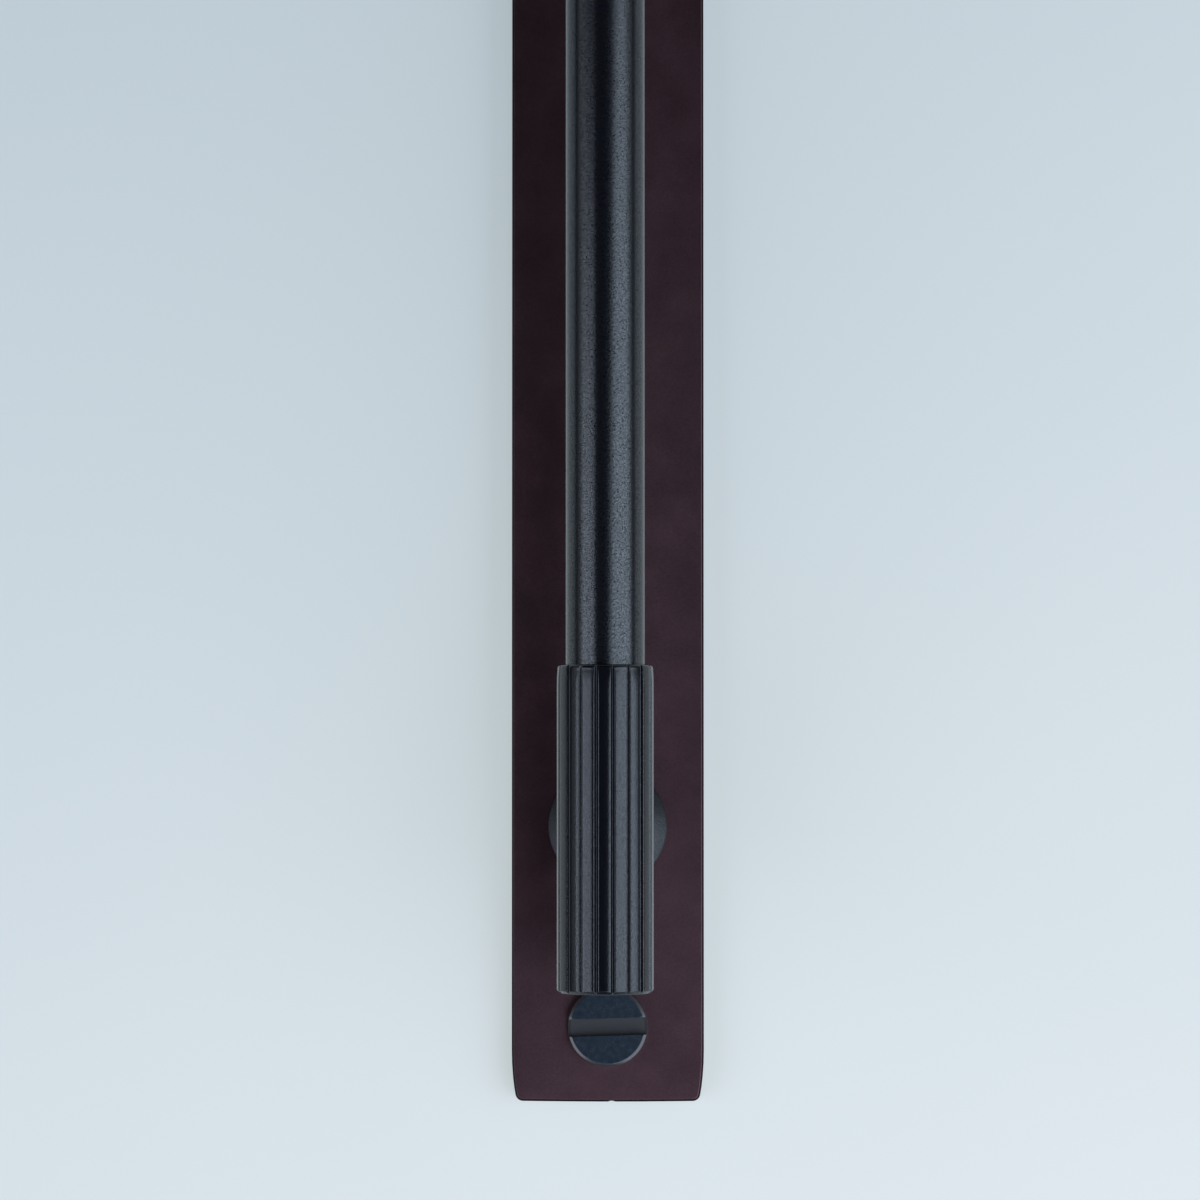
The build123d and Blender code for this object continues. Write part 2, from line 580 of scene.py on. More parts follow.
def turned_track(tree):
    """The place on a piece, and the track that a lathe tool leaves constant: its radius and its height."""
    place = add_node(tree, "ShaderNodeTexCoord", {}).outputs["Object"]
    across = add_node(tree, "ShaderNodeVectorMath", {0: place, 1: (1, 1, 0)}, operation="MULTIPLY")
    radius = add_node(tree, "ShaderNodeVectorMath", {0: across.outputs["Vector"]}, operation="LENGTH")
    along = add_node(tree, "ShaderNodeSeparateXYZ", {"Vector": place}).outputs["Z"]
    track = add_node(tree, "ShaderNodeCombineXYZ", {"X": radius.outputs["Value"], "Z": along})
    return place, track.outputs["Vector"]


def turned_finish(
    name,
    base,
    speckle,
    metallic,
    roughness,
    spread,
    line_pitch,
    line_depth,
    grain,
    grain_depth,
    shine=0.5,
    glint=0.0,
):
    """A finish over turned work: fine tool lines round the axis and a satin grain.

    The grain runs between the colours base and speckle, and moves the roughness by spread either way.
    shine is the specular level, and glint is how much brighter and duller single grains reflect.
    """
    material, tree, shader = new_material(name)
    place, track = turned_track(tree)
    lines = add_node(tree, "ShaderNodeTexNoise", {"Vector": track, "Scale": 1 / line_pitch, "Detail": 2.0})
    satin = add_node(tree, "ShaderNodeTexNoise", {"Vector": place, "Scale": 1 / grain, "Detail": 1.0})
    grains = satin.outputs["Fac"]
    tint = add_node(
        tree, "ShaderNodeMix", {"Factor": grains, MIX_FIRST: base, MIX_SECOND: speckle}, data_type="RGBA"
    )
    rough = add_node(
        tree,
        "ShaderNodeMapRange",
        {"Value": grains, "To Min": roughness - spread, "To Max": roughness + spread},
    )
    turned = add_node(tree, "ShaderNodeBump", {"Height": lines.outputs["Fac"], "Distance": line_depth})
    bump = add_node(
        tree,
        "ShaderNodeBump",
        {"Height": grains, "Distance": grain_depth, "Normal": turned.outputs["Normal"]},
    )
    tree.links.new(tint.outputs[MIX_RESULT], shader.inputs["Base Color"])
    tree.links.new(rough.outputs["Result"], shader.inputs["Roughness"])
    tree.links.new(bump.outputs["Normal"], shader.inputs["Normal"])
    shader.inputs["Metallic"].default_value = metallic
    shader.inputs["Specular IOR Level"].default_value = shine
    if glint:
        noise = {"Value": grains, "From Min": NOISE_LOW, "From Max": NOISE_HIGH}
        levels = {"To Min": shine - glint, "To Max": shine + glint}
        sparkle = add_node(tree, "ShaderNodeMapRange", {**noise, **levels})
        tree.links.new(sparkle.outputs["Result"], shader.inputs["Specular IOR Level"])
    return material


def satin_black(finish, name, roughness, shine, glint):
    """Satin black lacquer on turned brass: near black face on, with cool grey bands where it faces a lamp.

    Tool lines of about 0.1 mm and a grain of about 0.05 mm are drawn at 0.4 and 0.16 mm, so that they show.
    """
    material = turned_finish(
        name,
        base=finish.lacquer,
        speckle=finish.lacquer_grain,
        metallic=0.0,
        roughness=roughness,
        spread=0.04,
        line_pitch=0.0004,
        line_depth=0.000002,
        grain=0.00016,
        grain_depth=0.000012,
        shine=shine,
        glint=glint,
    )
    shader = material.node_tree.nodes["Principled BSDF"]
    shader.inputs["Specular Tint"].default_value = finish.lacquer_sheen
    return material


def zinc_plated_steel(finish):
    """Bright zinc on turned steel: pale grey with a dull gloss.

    Tool lines and grain of about 0.1 mm are drawn at 0.3 mm, so that they show.
    """
    return turned_finish(
        "zinc_plated_steel",
        base=finish.zinc,
        speckle=finish.zinc_grain,
        metallic=1.0,
        roughness=0.35,
        spread=0.05,
        line_pitch=0.0003,
        line_depth=0.000003,
        grain=0.0003,
        grain_depth=0.000003,
    )


def blued_steel(finish, screw):
    """Blued steel: blue-black and mottled on its faces, neutral grey where the slot is rubbed and on the
    rim, which is rubbed and also painted lighter as a highlight.

    The mottle is 0.8 mm across. Tool lines of about 0.1 mm are drawn at 0.25 mm, so that they show.
    """
    material = turned_finish(
        "blued_steel",
        base=finish.blueing,
        speckle=finish.blueing_mottle,
        metallic=0.0,
        roughness=0.25,
        spread=0.04,
        line_pitch=0.00025,
        line_depth=0.000002,
        grain=0.0008,
        grain_depth=0.000004,
    )
    tree = material.node_tree
    shader = tree.nodes["Principled BSDF"]
    track = turned_track(tree)[1]
    parts = add_node(tree, "ShaderNodeSeparateXYZ", {"Vector": track}).outputs
    top = -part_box("plate_screws")[0].y
    head = half_width("plate_screws")
    bevel = head - screw.bevel_width
    # The head's side stays blue. The slot is rubbed from half its depth down, and the head's bevel is
    # rubbed and also painted lighter as a highlight
    side = {0: parts["X"], 1: head - screw.edge_ease / 4}
    face = add_node(tree, "ShaderNodeMath", side, operation="LESS_THAN").outputs["Value"]
    depth = screw.slot_depth
    slot = {"Value": parts["Z"], "From Min": top - depth / 3, "From Max": top - depth / 2}
    rim = {"Value": parts["X"], "From Min": bevel - screw.edge_ease, "From Max": bevel + screw.edge_ease}
    tint = shader.inputs["Base Color"].links[0].from_socket
    for reach, rubbed in ((slot, finish.rubbed_slot), (rim, finish.rim_wear_and_highlight)):
        worn = add_node(tree, "ShaderNodeMapRange", reach).outputs["Result"]
        mask = add_node(tree, "ShaderNodeMath", {0: face, 1: worn}, operation="MULTIPLY").outputs["Value"]
        mixed = add_node(
            tree, "ShaderNodeMix", {"Factor": mask, MIX_FIRST: tint, MIX_SECOND: rubbed}, data_type="RGBA"
        )
        tint = mixed.outputs[MIX_RESULT]
    tree.links.new(tint, shader.inputs["Base Color"])
    return material


def dark_bronze(finish):
    """Brown-black patinated bronze: a soft sheen, cloudy where the patina took unevenly, with painted shade
    on its bevels and sides.

    The clouds are 6 mm across. The grain, about 0.1 mm in life, is drawn at 0.3 mm, so that it shows.
    """
    cloud_size = 0.006
    grain_size = 0.0003
    grain_depth = 0.000004
    sheen = {"To Min": 0.33, "To Max": 0.38}
    # How squarely a face looks out of the plate, from its bevels to its flat front: faces that turn away
    # get painted shade
    flat_front = {"From Min": 0.8, "From Max": 0.99}
    material, tree, shader = new_material("dark_bronze_patina")
    place = add_node(tree, "ShaderNodeTexCoord", {}).outputs["Object"]
    cloud = add_node(tree, "ShaderNodeTexNoise", {"Vector": place, "Scale": 1 / cloud_size, "Detail": 4.0})
    grain = add_node(tree, "ShaderNodeTexNoise", {"Vector": place, "Scale": 1 / grain_size, "Detail": 2.0})
    patterns = {0: cloud.outputs["Fac"], 1: grain.outputs["Fac"]}
    both = add_node(tree, "ShaderNodeMath", patterns, operation="ADD")
    uneven = {"Value": both.outputs["Value"], "From Min": 2 * NOISE_LOW, "From Max": 2 * NOISE_HIGH}
    clouded = add_node(tree, "ShaderNodeMapRange", uneven)
    tint = add_node(
        tree,
        "ShaderNodeMix",
        {"Factor": clouded.outputs["Result"], MIX_FIRST: finish.patina, MIX_SECOND: finish.patina_clouds},
        data_type="RGBA",
    )
    rough = add_node(tree, "ShaderNodeMapRange", {**uneven, **sheen})
    bump = add_node(tree, "ShaderNodeBump", {"Height": grain.outputs["Fac"], "Distance": grain_depth})
    facing = add_node(tree, "ShaderNodeTexCoord", {}).outputs["Normal"]
    outward = add_node(tree, "ShaderNodeSeparateXYZ", {"Vector": facing}).outputs["Z"]
    front = add_node(tree, "ShaderNodeMapRange", {"Value": outward, **flat_front})
    flat = tint.outputs[MIX_RESULT]
    # Painted shade: bevels and sides are mixed towards the darker colour
    edged = add_node(
        tree,
        "ShaderNodeMix",
        {"Factor": front.outputs["Result"], MIX_FIRST: finish.painted_edge_shade, MIX_SECOND: flat},
        data_type="RGBA",
    )
    tree.links.new(edged.outputs[MIX_RESULT], shader.inputs["Base Color"])
    tree.links.new(rough.outputs["Result"], shader.inputs["Roughness"])
    tree.links.new(bump.outputs["Normal"], shader.inputs["Normal"])
    shader.inputs["Metallic"].default_value = 1.0
    return material


def pale_paint_and_painted_light(stage):
    """Pale blue satin paint with faint clouds of 80 mm, which glows with painted light, brighter towards
    the lower right.

    The eye and reflections see that glow in full. From behind it is clear.
    """
    cloud_size = 0.08
    material, tree, shader = new_material("pale_paint_and_painted_light")
    place = add_node(tree, "ShaderNodeTexCoord", {}).outputs["Object"]
    cloud = add_node(tree, "ShaderNodeTexNoise", {"Vector": place, "Scale": 1 / cloud_size, "Detail": 3.0})
    tint = add_node(
        tree,
        "ShaderNodeMix",
        {"Factor": cloud.outputs["Fac"], MIX_FIRST: stage.door_paint, MIX_SECOND: stage.door_clouds},
        data_type="RGBA",
    )
    # Painted light: the glow grows brighter along this way, towards the lower right
    fall = add_node(tree, "ShaderNodeVectorMath", {0: place, 1: stage.painted_light_way}, operation="DOT_PRODUCT")
    light = add_node(
        tree,
        "ShaderNodeMapRange",
        {"Value": fall.outputs["Value"], "From Min": -stage.painted_light_reach, "From Max": stage.painted_light_reach},
    )
    pale = add_node(
        tree,
        "ShaderNodeMix",
        {"Factor": light.outputs["Result"], MIX_FIRST: stage.painted_light_dim, MIX_SECOND: stage.painted_light_pale},
        data_type="RGBA",
    )
    # The painted light shows only to the eye and to reflections
    path = add_node(tree, "ShaderNodeLightPath", {}).outputs
    mirrors = {0: path["Is Glossy Ray"], 1: path["Is Transmission Ray"]}
    mirrored = add_node(tree, "ShaderNodeMath", mirrors, operation="MAXIMUM").outputs["Value"]
    eyes = {0: path["Is Camera Ray"], 1: mirrored}
    seen = add_node(tree, "ShaderNodeMath", eyes, operation="MAXIMUM")
    tree.links.new(tint.outputs[MIX_RESULT], shader.inputs["Base Color"])
    tree.links.new(pale.outputs[MIX_RESULT], shader.inputs["Emission Color"])
    tree.links.new(seen.outputs["Value"], shader.inputs["Emission Strength"])
    shader.inputs["Roughness"].default_value = 0.7
    behind = add_node(tree, "ShaderNodeNewGeometry", {}).outputs["Backfacing"]
    clear = add_node(tree, "ShaderNodeBsdfTransparent", {}).outputs["BSDF"]
    surface = add_node(tree, "ShaderNodeMixShader", {0: behind, 1: shader.outputs["BSDF"], 2: clear})
    tree.links.new(surface.outputs["Shader"], tree.nodes["Material Output"].inputs["Surface"])
    return material


def black_card(stage):
    """Matt black card: it takes the light out of what reflects it."""
    material, _, shader = new_material("black_card")
    shader.inputs["Base Color"].default_value = stage.card_colour
    shader.inputs["Roughness"].default_value = 0.9
    return material


def eased(outline):
    """An outline of (x, y, ease) corners as plain points: a corner with an ease becomes a round that starts
    that far from it, and short edges are divided as finely as the rounds."""
    corners = [Vector(corner[:2]) for corner in outline]
    points = [corners[0]]
    for before, corner, after, ease in zip(corners, corners[1:], corners[2:], [c[2] for c in outline[1:]]):
        if ease == 0:
            points.append(corner)
            continue
        back = (before - corner).normalized()
        onward = (after - corner).normalized()
        half_angle = back.angle(onward) / 2
        centre = corner + (back + onward).normalized() * (ease / math.cos(half_angle))
        start = corner + back * ease - centre
        finish = corner + onward * ease - centre
        steps = FEWEST_ROUND_STEPS + int(ease / ROUND_STEP)
        for k in range(steps + 1):
            turn = start.normalized().slerp(finish.normalized(), k / steps)
            points.append(centre + turn * start.length)
    points.append(corners[-1])
    divided = [points[0]]
    for start, finish in zip(points, points[1:]):
        length = (finish - start).length
        steps = max(1, round(length / ROUND_STEP)) if length < DIVIDED_LIMIT else 1
        divided.extend(start.lerp(finish, k / steps) for k in range(1, steps + 1))
    return divided


def angles(count):
    """Evenly spaced angles of one turn."""
    return [FULL_TURN * k / count for k in range(count)]


def turned_rows(outline):
    """Rows of points round the axis, one for each (radius, height) of an outline."""
    return [[(r * math.cos(a), r * math.sin(a), z) for a in angles(SEGMENTS)] for r, z in outline]


def thread_rows(crest, root, pitch, bottom, top):
    """Rows of points along a screw thread between two heights, with straight flanks from root to crest."""
    count = math.ceil(abs(top - bottom) / pitch * THREAD_ROWS)
    rows = []
    for k in range(count + 1):
        z = bottom + (top - bottom) * k / count
        row = []
        for a in angles(SEGMENTS):
            wave = abs(2 * ((z / pitch - a / FULL_TURN) % 1) - 1)
            r = root + (crest - root) * wave
            row.append((r * math.cos(a), r * math.sin(a), z))
        rows.append(row)
    return rows


def new_mesh(name, points, faces):
    """A mesh object in the scene."""
    mesh = bpy.data.meshes.new(name)
    mesh.from_pydata(points, [], faces)
    piece = bpy.data.objects.new(name, mesh)
    bpy.context.scene.collection.objects.link(piece)
    return piece


def loft(name, rows):
    """A closed mesh through rows of points, with a flat face across the first and the last row."""
    width = len(rows[0])
    last = (len(rows) - 1) * width
    faces = [tuple(reversed(range(width))), tuple(range(last, last + width))]
    for start in range(0, last, width):
        for k in range(width):
            following = (k + 1) % width
            faces.append((start + k, start + following, start + width + following, start + width + k))
    return new_mesh(name, [point for row in rows for point in row], faces)


def rod(radius, length, sides=SEGMENTS):
    """A plain rod or prism along local Z, used to cut with."""
    ring = [(radius * math.cos(a), radius * math.sin(a)) for a in angles(sides)]
    return loft("cutter", [[(x, y, z) for x, y in ring] for z in (0, length)])


def cut(piece, cutters, ease=0.0):
    """Takes the cutters' forms out of a piece. With an ease, the sharp edges are rounded by that much."""
    faces = len(piece.data.polygons)
    for cutter in cutters:
        hole = piece.modifiers.new("Cut", "BOOLEAN")
        hole.object = cutter
        hole.solver = "MANIFOLD"
    if ease:
        edges = piece.modifiers.new("Ease", "BEVEL")
        edges.width = ease
        edges.segments = EASED_FACES
        edges.limit_method = "ANGLE"
        edges.angle_limit = EASED_ANGLE
    bpy.context.view_layer.update()
    whole = piece.evaluated_get(bpy.context.evaluated_depsgraph_get())
    piece.data = bpy.data.meshes.new_from_object(whole)
    if len(piece.data.polygons) < faces:
        raise RuntimeError(piece.name + " lost its form when it was cut")
    piece.modifiers.clear()
    for cutter in cutters:
        bpy.data.objects.remove(cutter)


def stand(piece, place, node, material):
    """Puts a finished piece in place of its CAD node, with its material and crisp edges."""
    piece.matrix_world = place
    piece.data.materials.clear()
    piece.data.materials.append(material)
    piece.data.shade_smooth()
    piece.data.set_sharp_from_angle(angle=CRISP_ANGLE)
    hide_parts(node)
    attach(piece, "root")


def post_heights():
    """The heights up the handle at which the posts stand, lower one first."""
    boxes = [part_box(end + "_post") for end in ENDS]
    return [(low.z + high.z) / 2 for low, high in boxes]


def screw_heights():
    """The heights up the handle at which the plate screws sit, lower one first."""
    low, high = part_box("plate_screws")
    head = half_width("plate_screws")
    return [low.z + head, high.z - head]


def half_width(node):
    """Half a node's width across the plate, which is a round piece's radius."""
    low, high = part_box(node)
    return (high.x - low.x) / 2


def plate_thickness():
    """The plate's thickness, which is how far its front stands off the door."""
    low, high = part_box("backplate")
    return high.y - low.y


def bar_distance():
    """How far the bar's axis stands off the door."""
    low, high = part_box("grip_bar")
    return -(low.y + high.y) / 2


class HANDLE_OT_backplate(Operator):
    """Builds the backplate with its eased edges, four holes and a nick"""

    bl_idname = "handle.backplate"
    bl_label = "Backplate"

    def outline(self, plate, half_across, half_along):
        """Points once round the plate, counter-clockwise from the middle of its right side."""
        corner = Vector((half_across - plate.easing_depth, half_along - plate.end_bow))
        side = [(half_across, 0.0, 0.0), (half_across, half_along - plate.easing_length, 0.0)]
        for part in SIDE_STATIONS:
            y = half_along - plate.easing_length * (1 - part)
            side.append((half_across - plate.easing_depth * part**2, y, 0.0))
        end = [(corner.x * part, half_along - plate.end_bow * part**2, 0.0) for part in END_STATIONS]
        quarter = eased(side + [(corner.x, corner.y, plate.corner_radius)] + end)
        left = [Vector((-p.x, p.y)) for p in reversed(quarter[:-1])]
        upper = quarter + left
        lower = [Vector((p.x, -p.y)) for p in reversed(upper[1:-1])]
        return upper + lower

    def edge(self, plate, thickness):
        """The plate's edge from back to front, as (inset from the outline, height) points."""
        return eased(
            [
                (4 * plate.edge_ease, 0.0, 0.0),
                (0.0, 0.0, plate.edge_ease),
                (0.0, thickness - plate.edge_bevel, plate.edge_ease),
                (plate.edge_bevel, thickness, plate.edge_ease),
                (plate.edge_bevel + 2 * plate.edge_ease, thickness, 0.0),
            ]
        )

    def execute(self, context):
        plate = context.scene.handle_plate
        low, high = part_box("backplate")
        thickness = plate_thickness()
        outline = self.outline(plate, high.x, high.z)
        inward = []
        for before, after in zip(outline[-1:] + outline[:-1], outline[1:] + outline[:1]):
            along = (after - before).normalized()
            inward.append(Vector((-along.y, along.x)))
        rows = []
        for inset, height in self.edge(plate, thickness):
            points = [p + step * inset for p, step in zip(outline, inward)]
            rows.append([(p.x, p.y, height) for p in points])
        piece = loft("backplate_body", rows)
        fit = context.scene.handle_grip.fit
        spigot_hole = context.scene.handle_posts.spigot_diameter / 2 + fit
        shank_hole = context.scene.handle_screws.shank_diameter / 2 + fit
        rounds = [(spigot_hole, 0.0, z) for z in post_heights()]
        rounds += [(shank_hole, 0.0, z) for z in screw_heights()]
        rounds.append((plate.nick_radius, plate.nick_offset, low.z + plate.nick_depth - plate.nick_radius))
        # Each cutter passes well through both faces of the plate
        cutters = []
        for radius, x, z in rounds:
            cutter = rod(radius, 3 * thickness)
            cutter.location = (x, z, -thickness)
            cutters.append(cutter)
        cut(piece, cutters)
        stand(piece, OUTWARD, "backplate", dark_bronze(context.scene.handle_finishes))
        return {"FINISHED"}


class HANDLE_OT_grip_bar(Operator):
    """Builds the round bar with its chamfered ends and cross holes"""

    bl_idname = "handle.grip_bar"
    bl_label = "Grip bar"

    def execute(self, context):
        grip = context.scene.handle_grip
        low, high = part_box("grip_bar")
        axis = bar_distance()
        radius = half_width("grip_bar")
        inner = radius - 2 * grip.bar_chamfer
        outline = eased(
            [
                (inner, low.z, 0.0),
                (radius - grip.bar_chamfer, low.z, grip.edge_ease),
                (radius, low.z + grip.bar_chamfer, grip.edge_ease),
                (radius, low.z + 2 * grip.bar_chamfer, 0.0),
                (radius, high.z - 2 * grip.bar_chamfer, 0.0),
                (radius, high.z - grip.bar_chamfer, grip.edge_ease),
                (radius - grip.bar_chamfer, high.z, grip.edge_ease),
                (inner, high.z, 0.0),
            ]
        )
        piece = loft("grip_bar_body", turned_rows(outline))
        hole_floor = -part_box("post_studs")[0].y + context.scene.handle_posts.hole_floor
        # Each cutter runs from the door to just past the end of its set screw
        cutters = []
        for z in post_heights():
            cutter = rod(half_width("post_studs") + grip.fit, hole_floor)
            cutter.matrix_world = Matrix.Translation((0, axis, z)) @ OUTWARD
            cutters.append(cutter)
        cut(piece, cutters)
        finish = context.scene.handle_finishes
        black = satin_black(finish, "satin_black_bar", roughness=0.2, shine=0.5, glint=0.45)
        stand(piece, Matrix.Translation((0, -axis, 0)), "grip_bar", black)
        return {"FINISHED"}


class HANDLE_OT_grip_sleeves(Operator):
    """Builds the two fluted sleeves, with soft lips and flutes that run out at both edges"""

    bl_idname = "handle.grip_sleeves"
    bl_label = "Grip sleeves"

    def flute_radius(self, grip, radius, offset):
        """The sleeve's radius at a distance from the middle of a flute: a round root and soft lips."""
        away = abs(offset) - grip.flute_width / 2
        inside = grip.flute_depth * (1 - abs(2 * offset / grip.flute_width) ** grip.flute_form)
        shoulder = min(1.0, max(0.0, 1 - away / grip.shoulder_width))
        sunk = (inside + math.hypot(inside, grip.lip_round)) / 2
        return radius - sunk - grip.shoulder_depth * shoulder**2

    def columns(self, grip, radius):
        """Each column of points along the sleeve as its angle and the fluted radius there."""
        half = grip.flute_width / 2
        offsets = [-half * s for s in reversed(FLUTE_STATIONS[1:])] + [half * s for s in FLUTE_STATIONS]
        first = grip.flute_turn - QUARTER_TURN
        found = []
        for turn in angles(grip.flute_count):
            for offset in offsets:
                found.append((first + turn + offset / radius, self.flute_radius(grip, radius, offset)))
        return found

    def outline(self, grip, radius, length):
        """A sleeve without its flutes, as (radius, height) points from its closed end into its bore."""
        bore = half_width("grip_bar") + grip.fit
        rim = radius - grip.outer_chamfer
        mouth = radius - grip.easing_depth
        easing_start = length - grip.easing_length
        easing = []
        for k in range(EASING_STEPS):
            part = k / EASING_STEPS
            z = easing_start + (grip.easing_length - grip.mouth_round) * part
            easing.append((radius - grip.easing_depth * part**2, z, 0.0))
        return eased(
            [
                (rim - grip.flute_depth, 0.0, 0.0),
                (rim, 0.0, grip.outer_ease),
                (radius, grip.outer_chamfer, grip.outer_ease),
                (radius, 2 * grip.outer_chamfer, 0.0),
                *easing,
                (mouth, length, grip.mouth_round),
                (bore + grip.mouth_chamfer, length, grip.edge_ease),
                (bore, length - grip.mouth_chamfer, 0.0),
                (bore, grip.end_wall, 0.0),
            ]
        )

    def rows(self, grip, radius, length):
        """Rows of points up a sleeve: the lesser of turned and fluted radius, eased where they cross."""
        columns = self.columns(grip, radius)
        rows = []
        for turned, z in self.outline(grip, radius, length):
            row = []
            for angle, fluted in columns:
                near = max(0.0, grip.edge_ease - abs(turned - fluted)) ** 2 / (4 * grip.edge_ease)
                r = min(turned, fluted) - near
                row.append((r * math.cos(angle), r * math.sin(angle), z))
            rows.append(row)
        return rows

    def execute(self, context):
        grip = context.scene.handle_grip
        axis = bar_distance()
        post_hole = context.scene.handle_posts.diameter / 2 + grip.fit
        finish = context.scene.handle_finishes
        black = satin_black(finish, "satin_black_sleeve", roughness=0.16, shine=0.42, glint=0.22)
        for end, turn, post_z in zip(ENDS, (0, HALF_TURN), post_heights()):
            node = end + "_grip_sleeve"
            low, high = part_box(node)
            radius = (high.y - low.y) / 2
            closed_end = low.z if end == "lower" else high.z
            piece = loft(node + "_body", self.rows(grip, radius, high.z - low.z))
            cutter = rod(post_hole, 2 * radius)
            cutter.matrix_world = Matrix.Translation((0, 2 * radius, abs(post_z - closed_end))) @ OUTWARD
            cut(piece, [cutter])
            place = Matrix.Translation((0, -axis, closed_end)) @ Matrix.Rotation(turn, 4, "Y")
            stand(piece, place, node, black)
        return {"FINISHED"}


class HANDLE_OT_posts(Operator):
    """Builds the two posts: flared foot, spigot, threaded bolt hole and the saddle under the bar"""

    bl_idname = "handle.posts"
    bl_label = "Posts"

    def rows(self, context, foot, back):
        """Rows of points of a post, from the floor of its bolt hole, round its outside, to the stud."""
        post = context.scene.handle_posts
        fit = context.scene.handle_grip.fit
        axis = bar_distance()
        stud_bottom = -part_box("post_studs")[1].y
        stud_hole = half_width("post_studs") + fit
        radius = post.diameter / 2
        spigot = post.spigot_diameter / 2
        plate_front = plate_thickness()
        rim_top = plate_front + post.rim_height
        neck = rim_top + (foot - radius) * math.tan(post.foot_slope)
        crest = post.bolt_diameter / 2
        root = crest - post.bolt_pitch / 2
        saddle = half_width("grip_bar") + fit
        rows = thread_rows(crest, root, post.bolt_pitch, back + post.bolt_depth, back + post.bolt_pitch)
        rows += turned_rows(
            eased(
                [
                    (crest + post.edge_ease, back, 0.0),
                    (spigot, back, post.edge_ease),
                    (spigot, plate_front, 0.0),
                    (foot, plate_front, post.edge_ease / 2),
                    (foot, rim_top, post.edge_ease),
                    (radius, neck, post.neck_bevel),
                    (radius, axis - saddle, 0.0),
                ]
            )
        )
        for part in SADDLE_STATIONS:
            r = stud_hole + (radius - stud_hole) * part
            flat = [(r * math.cos(a), r * math.sin(a)) for a in angles(SEGMENTS)]
            rows.append([(x, y, axis - math.sqrt(saddle**2 - x**2)) for x, y in flat])
        return rows + turned_rows([(stud_hole, stud_bottom - post.hole_floor)])

    def execute(self, context):
        finish = context.scene.handle_finishes
        black = satin_black(finish, "satin_black_post", roughness=0.36, shine=0.5, glint=0.2)
        for end, z in zip(ENDS, post_heights()):
            node = end + "_post"
            back = -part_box(node)[1].y
            piece = loft(node + "_body", self.rows(context, half_width(node), back))
            stand(piece, Matrix.Translation((0, 0, z)) @ OUTWARD, node, black)
        return {"FINISHED"}


class HANDLE_OT_fasteners(Operator):
    """Builds the slotted plate screws and the set screws, with their threads"""

    bl_idname = "handle.fasteners"
    bl_label = "Fasteners"

    def slot_rows(self, screw, head, top):
        """The driver slot's block, longer than the head is wide."""
        reach = 2 * head
        half = screw.slot_width / 2
        base = [(reach, half), (-reach, half), (-reach, -half), (reach, -half)]
        return [[(x, y, z) for x, y in base] for z in (top - screw.slot_depth, top + screw.slot_depth)]

    def plate_screw(self, screw, end, slot_turn):
        """One slotted screw, about its own axis."""
        low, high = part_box("plate_screws")
        bottom, top = -high.y, -low.y
        plate_front = plate_thickness()
        head = half_width("plate_screws")
        crest = screw.shank_diameter / 2
        root = crest - screw.thread_pitch / 2
        rows = turned_rows([(root - screw.edge_ease, bottom)])
        rows += thread_rows(crest, root, screw.thread_pitch, bottom + screw.edge_ease, plate_front)
        rows += turned_rows(
            eased(
                [
                    (crest, plate_front, 0.0),
                    (head, plate_front, screw.edge_ease),
                    (head, top - screw.bevel_depth, screw.edge_ease),
                    (head - screw.bevel_width, top, screw.edge_ease),
                    (head - 2 * screw.bevel_width, top, 0.0),
                ]
            )
        )
        piece = loft(end + "_plate_screw", rows)
        slot = loft("cutter", self.slot_rows(screw, head, top))
        slot.rotation_euler.z = slot_turn
        cut(piece, [slot], screw.edge_ease)
        piece.modifiers.new("Flat faces", "WEIGHTED_NORMAL").keep_sharp = True
        return piece

    def set_screw(self, post, end):
        """One headless set screw, about its own axis, with a six-sided key socket."""
        low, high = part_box("post_studs")
        bottom, top = -high.y, -low.y
        crest = half_width("post_studs")
        root = crest - post.stud_pitch / 2
        rows = turned_rows([(root, bottom)])
        chamfer = post.stud_chamfer
        rows += thread_rows(crest, root, post.stud_pitch, bottom + chamfer, top - chamfer)
        rows += turned_rows([(root, top)])
        piece = loft(end + "_post_stud", rows)
        # A six-sided rod measures its radius times the root of three across its flats
        key = rod(post.stud_key_width / math.sqrt(3), 2 * post.stud_key_depth, sides=6)
        key.location.z = top - post.stud_key_depth
        cut(piece, [key])
        return piece

    def execute(self, context):
        screw = context.scene.handle_screws
        oxide = blued_steel(context.scene.handle_finishes, screw)
        for end, z, slot_turn in zip(ENDS, screw_heights(), screw.slot_turn):
            place = Matrix.Translation((0, 0, z)) @ OUTWARD
            stand(self.plate_screw(screw, end, slot_turn), place, "plate_screws", oxide)
        zinc = zinc_plated_steel(context.scene.handle_finishes)
        for end, z in zip(ENDS, post_heights()):
            place = Matrix.Translation((0, 0, z)) @ OUTWARD
            stand(self.set_screw(context.scene.handle_posts, end), place, "post_studs", zinc)
        return {"FINISHED"}


